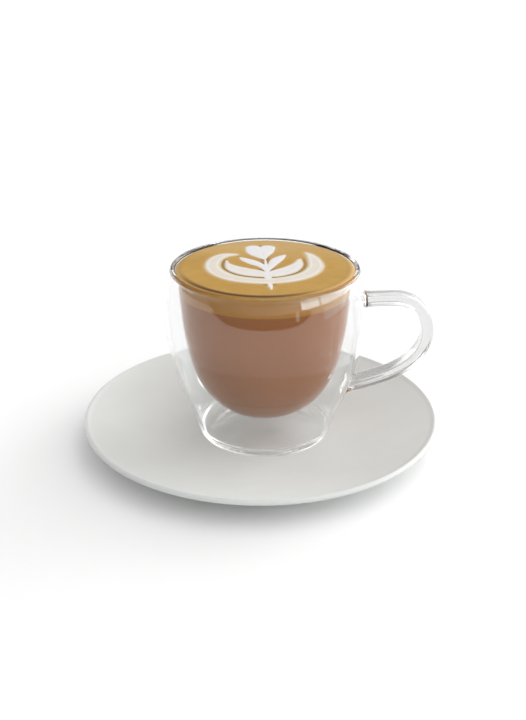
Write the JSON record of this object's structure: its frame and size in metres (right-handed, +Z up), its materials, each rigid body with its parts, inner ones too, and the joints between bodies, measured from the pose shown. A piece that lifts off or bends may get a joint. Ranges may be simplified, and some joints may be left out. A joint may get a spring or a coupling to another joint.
{
  "type": "cortado",
  "caption": "Milk coffee with crema and a poured milk foam pattern in a double-walled glass cup with a strap handle, standing on a round white saucer.",
  "frame": {"origin": "middle of the saucer's underside, at the height of the table", "axes": "+Z up, +X from the saucer's middle towards the handle, -Y towards the viewer of the picture"},
  "size_m": [0.1446, 0.1446, 0.075],
  "materials": {
    "porcelain": "white glazed porcelain with a soft satin sheen",
    "clear_glass": "clear polished borosilicate glass",
    "milk_coffee": "opaque liquid milk coffee",
    "crema": "fine golden brown coffee foam",
    "milk_foam": "smooth white milk foam"
  },
  "bodies": {
    "root": {"saucer": "porcelain", "glass_cup": "clear_glass", "coffee": "milk_coffee", "crema": "crema", "latte_art": "milk_foam"}
  },
  "joints": []
}
